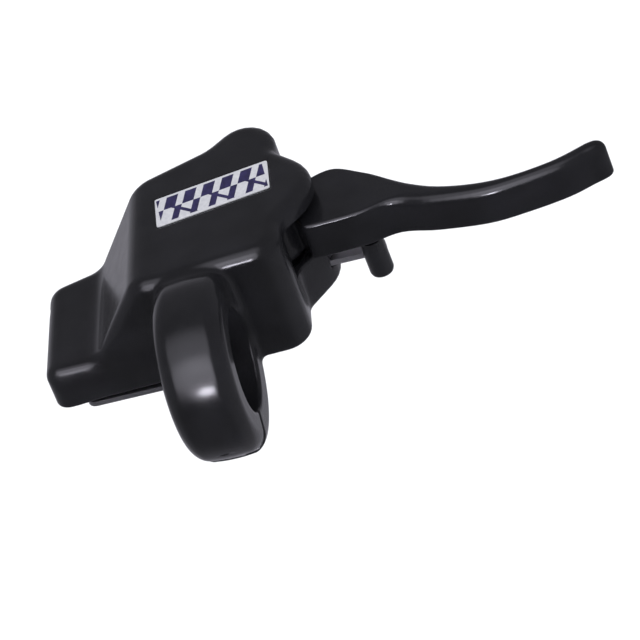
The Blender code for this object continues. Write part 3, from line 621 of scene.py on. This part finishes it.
def badge_material():
    """Silver foil with a frame, and two rows of slanting navy bars whose colours swap halfway."""
    mat, tree, shader = new_material("badge_print")
    nodes, links = tree.nodes, tree.links
    place = nodes.new("ShaderNodeTexCoord")
    split = nodes.new("ShaderNodeSeparateXYZ")
    links.new(place.outputs["Object"], split.inputs["Vector"])

    def maths(operation, a, b=None, c=None):
        """A Math node on numbers or other nodes' outputs."""
        node = nodes.new("ShaderNodeMath")
        node.operation = operation
        for slot, value in zip(node.inputs, (a, b, c)):
            if value is None:
                continue
            if isinstance(value, (int, float)):
                slot.default_value = value
            else:
                links.new(value, slot)
        return node.outputs["Value"]

    half_long, half_short = math.hypot(*BADGE_LONG) * MM, math.hypot(*BADGE_SHORT) * MM
    along, up = split.outputs["X"], split.outputs["Y"]
    rim, pitch, lean, gap_share = 0.0007, 0.0041, -0.35, 0.38
    halfway, thin_width = 0.0002, 0.0006
    inside_x = maths("LESS_THAN", maths("ABSOLUTE", along), half_long - rim)
    inside_y = maths("LESS_THAN", maths("ABSOLUTE", up), half_short - rim)
    printed = maths("MULTIPLY", inside_x, inside_y)
    slant = maths("MULTIPLY_ADD", up, lean, along)
    phase = maths("FRACT", maths("MULTIPLY_ADD", slant, 1 / pitch, 10.0))
    upper = maths("GREATER_THAN", up, halfway)
    lower = maths("SUBTRACT", 1.0, upper)
    stroke = maths("GREATER_THAN", phase, gap_share)
    space = maths("SUBTRACT", 1.0, stroke)
    thin = maths("LESS_THAN", maths("PINGPONG", maths("ADD", along, up), pitch), thin_width)
    space = maths("MAXIMUM", space, thin)
    bars = maths("ADD", maths("MULTIPLY", upper, stroke), maths("MULTIPLY", lower, space))
    navy = maths("MULTIPLY", printed, bars)
    ink = mixed(tree, spread(tree, noise(tree, 900.0), 0, 1), (0.018, 0.016, 0.055), (0.035, 0.028, 0.11))
    foil = mixed(tree, spread(tree, noise(tree, 1400.0), 0, 1), (0.52, 0.52, 0.56), (0.62, 0.62, 0.65))
    blend = nodes.new("ShaderNodeMix")
    blend.data_type = "RGBA"
    links.new(navy, blend.inputs["Factor"])
    links.new(foil, blend.inputs["A"])
    links.new(ink, blend.inputs["B"])
    links.new(blend.outputs["Result"], shader.inputs["Base Color"])
    shader.inputs["Metallic"].default_value = 0.15
    shader.inputs["Roughness"].default_value = 0.32
    bump(tree, shader, noise(tree, 2200.0), 0.05, 0.00003)
    return mat


def badge_outline():
    """The badge's plan in its own axes, along its length and across it."""
    along, across = Vector(BADGE_LONG), Vector(BADGE_SHORT)
    axis_x, axis_y = along.normalized(), Vector((-along.y, along.x)).normalized()
    spots = [along * a + across * b for a, b in BADGE_CORNERS]
    return outline([(spot.dot(axis_x), spot.dot(axis_y), 0.5) for spot in spots], 5)


def make_badge():
    """Thin foil plate, a slightly slanting parallelogram, lying in its shallow pocket on the top."""
    points = badge_outline()
    count = len(points)
    layers = ((0.0, 0.0), (0.22, 0.0), (0.28, 0.06))        # height and inset, up to a small bevel
    verts, faces = [], []
    for height, inset in layers:
        shrink = 1 - inset / Vector(BADGE_SHORT).length
        for x, y in points:
            verts.append((x * MM * shrink, y * MM * shrink, height * MM))
    for base in range(0, (len(layers) - 1) * count, count):
        for i in range(count):
            j = (i + 1) % count
            faces.append((base + i, base + j, base + count + j, base + count + i))
    faces.append(tuple(reversed(range(count))))
    faces.append(tuple(range((len(layers) - 1) * count, len(layers) * count)))
    obj = add_mesh("name_badge", verts, faces)
    obj.location = (BADGE_CENTRE[0] * MM, BADGE_CENTRE[1] * MM, (Z_TOP - 0.1) * MM)
    obj.rotation_euler = (0, 0, math.atan2(BADGE_LONG[1], BADGE_LONG[0]))
    paint(obj, badge_material())
    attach(obj, "housing_body")
    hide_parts("badge")


# ---------------------------------------------------------------- pieces

def make_casting():
    """The housing with its clamp ring, in place of the CAD's faceted one."""
    low, high = corners("housing")
    step = 0.42
    obj = mesh_field("housing_casting", housing_field, low, high, step)
    paint(obj, painted_black("black_cast_paint", 0.21))
    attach(obj, "housing_body")
    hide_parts("housing")


def make_lever():
    """The finger lever, in place of the CAD's faceted one."""
    low, high = corners("lever")
    step = 0.34
    obj = mesh_field("finger_lever", lever_field, low, high, step)
    paint(obj, painted_black("black_lever_paint", 0.17))
    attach(obj, "lever_body")
    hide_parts("lever")


def paint_frame():
    """Better materials for the CAD nodes that stay."""
    steel = metal("zinc_plated_steel", (0.62, 0.62, 0.63), 0.3)
    spring = metal("spring_wire", (0.38, 0.38, 0.4), 0.3)
    finishes = {
        "bottom_cover": metal("cover_plate", (0.42, 0.41, 0.45), 0.36),
        "return_stop": metal("stop_plate", (0.72, 0.7, 0.76), 0.34),
        "upper_bush": metal("bronze_bush", (0.5, 0.31, 0.13), 0.42),
        "lower_bush": metal("bronze_bush_low", (0.5, 0.31, 0.13), 0.42),
        "swivel_post": metal("brass_post", (0.75, 0.55, 0.24), 0.28),
        "cable_inlet_bush": metal("alloy_bush", (0.75, 0.76, 0.78), 0.26),
        "inlet_seal": rubber("seal_rubber"),
        "clamp_screw": metal("black_oxide", (0.06, 0.06, 0.065), 0.34),
        "clamp_washer": metal("black_oxide_washer", (0.06, 0.06, 0.065), 0.38),
        "stop_peg": painted_black("peg_black", 0.26),
        "post_clip": spring,
        "return_spring": spring,
        "return_stop_pin": spring,
    }
    for name, obj in NODES.items():
        if name in ("housing", "lever", "badge"):
            continue
        paint(obj, finishes.get(name, steel))


# ---------------------------------------------------------------- camera, light and floor

VIEW_AZIMUTH = math.radians(13.95)
VIEW_ELEVATION = math.radians(37.97)
VIEW_ROLL = math.atan(math.tan(VIEW_AZIMUTH) / math.sin(VIEW_ELEVATION))   # Y stands upright in view
VIEW_DISTANCE = 1.2
LENS = 327.4
ORIGIN_RIGHT = -0.02255      # where the frame's origin lies from the view's middle, in metres
ORIGIN_UP = -0.00965


def view_axes():
    """The camera's right, up and backward directions."""
    back = Vector((math.sin(VIEW_AZIMUTH) * math.cos(VIEW_ELEVATION),
                   -math.cos(VIEW_AZIMUTH) * math.cos(VIEW_ELEVATION), math.sin(VIEW_ELEVATION)))
    right = Vector((0, 0, 1)).cross(back).normalized()
    right.rotate(Matrix.Rotation(-VIEW_ROLL, 3, back))
    up = back.cross(right)
    return right, up, back


def make_camera():
    """A long lens at the view's angle, nearly without perspective."""
    right, up, back = view_axes()
    data = bpy.data.cameras.new("camera")
    data.lens = LENS
    data.sensor_width = 36.0
    data.clip_start = 0.01
    data.clip_end = 20.0
    camera = add_object("camera", data)
    place = back * VIEW_DISTANCE - right * ORIGIN_RIGHT - up * ORIGIN_UP
    turn = Matrix((right, up, back)).transposed().to_4x4()
    camera.matrix_world = Matrix.Translation(place) @ turn
    bpy.context.scene.camera = camera


def make_floor():
    """A pale floor 60 mm below the object. The gloss mirrors the dim room instead of it."""
    size = 3.0
    level = cad_bounds[0][2] - 0.06
    square = [(-size, -size, level), (size, -size, level), (size, size, level), (-size, size, level)]
    obj = add_mesh("floor", square, [(0, 1, 2, 3)])
    mat, tree, shader = new_material("pale_floor")
    pale = mixed(tree, noise(tree, 4.0, 2.0), (0.9, 0.9, 0.9), (0.94, 0.94, 0.94))
    tree.links.new(pale, shader.inputs["Base Color"])
    shader.inputs["Roughness"].default_value = 0.8
    paint(obj, mat)
    obj.visible_glossy = False
    obj.visible_shadow = False


ROOM_LIGHT = 1.32            # strength of the even room that lights the object softly
ROOM_GLOW = 0.14             # the mirrored room's own even brightness, under its glows

# Glows in the mirrored room: the direction they lie in, inner and outer half-angle in degrees, and
# radiance. The last one takes light away and makes a dark corner.
SOFT_BOXES = (
    ((-0.10, -0.972, 0.18), 2, 7, 22.0),
    ((-0.12, -0.85, 0.50), 6, 30, 2.0),
    ((-0.14, -0.45, 0.88), 6, 34, 0.9),
    ((-0.45, 0.78, -0.42), 10, 45, 0.24),
    ((0.25, 0.75, -0.6), 8, 30, 0.12),
    ((-0.19, -0.765, -0.615), 20, 60, -0.09),
)


def glow(nodes, links, way, inner, outer, radiance):
    """A soft-edged round glow in one direction of the world."""
    place = nodes.new("ShaderNodeTexCoord")
    dot = nodes.new("ShaderNodeVectorMath")
    dot.operation = "DOT_PRODUCT"
    dot.inputs[1].default_value = Vector(way).normalized()
    links.new(place.outputs["Generated"], dot.inputs[0])
    edge = nodes.new("ShaderNodeMapRange")
    edge.interpolation_type = "SMOOTHSTEP"
    edge.inputs["From Min"].default_value = math.cos(math.radians(outer))
    edge.inputs["From Max"].default_value = math.cos(math.radians(inner))
    edge.inputs["To Min"].default_value = 0.0
    edge.inputs["To Max"].default_value = radiance
    links.new(dot.outputs["Value"], edge.inputs["Value"])
    return edge.outputs["Result"]


def mirrored_room(nodes, links):
    """The dim room, with its glows, that the gloss mirrors."""
    total = None
    for box in SOFT_BOXES:
        added = nodes.new("ShaderNodeMath")
        added.operation = "ADD"
        added.inputs[1].default_value = ROOM_GLOW
        links.new(glow(nodes, links, *box), added.inputs[0])
        if total is not None:
            links.new(total, added.inputs[1])
        total = added.outputs["Value"]
    room = nodes.new("ShaderNodeBackground")
    room.inputs["Color"].default_value = (0.97, 0.95, 1.07, 1)
    links.new(total, room.inputs["Strength"])
    return room.outputs["Background"]


def make_light():
    """An even pale room for soft light; what the gloss mirrors is a dim room with soft boxes."""
    world = bpy.data.worlds.new("studio")
    world.use_nodes = True
    nodes, links = world.node_tree.nodes, world.node_tree.links
    nodes.clear()
    room = nodes.new("ShaderNodeBackground")
    room.inputs["Color"].default_value = (0.97, 0.98, 1.0, 1)
    room.inputs["Strength"].default_value = ROOM_LIGHT
    path = nodes.new("ShaderNodeLightPath")
    blend = nodes.new("ShaderNodeMixShader")
    links.new(path.outputs["Is Glossy Ray"], blend.inputs["Fac"])
    links.new(room.outputs["Background"], blend.inputs[1])
    links.new(mirrored_room(nodes, links), blend.inputs[2])
    output = nodes.new("ShaderNodeOutputWorld")
    links.new(blend.outputs["Shader"], output.inputs["Surface"])
    bpy.context.scene.world = world


make_camera()
make_casting()
make_lever()
make_badge()
paint_frame()
make_floor()
make_light()
bpy.context.scene.view_settings.view_transform = "Standard"
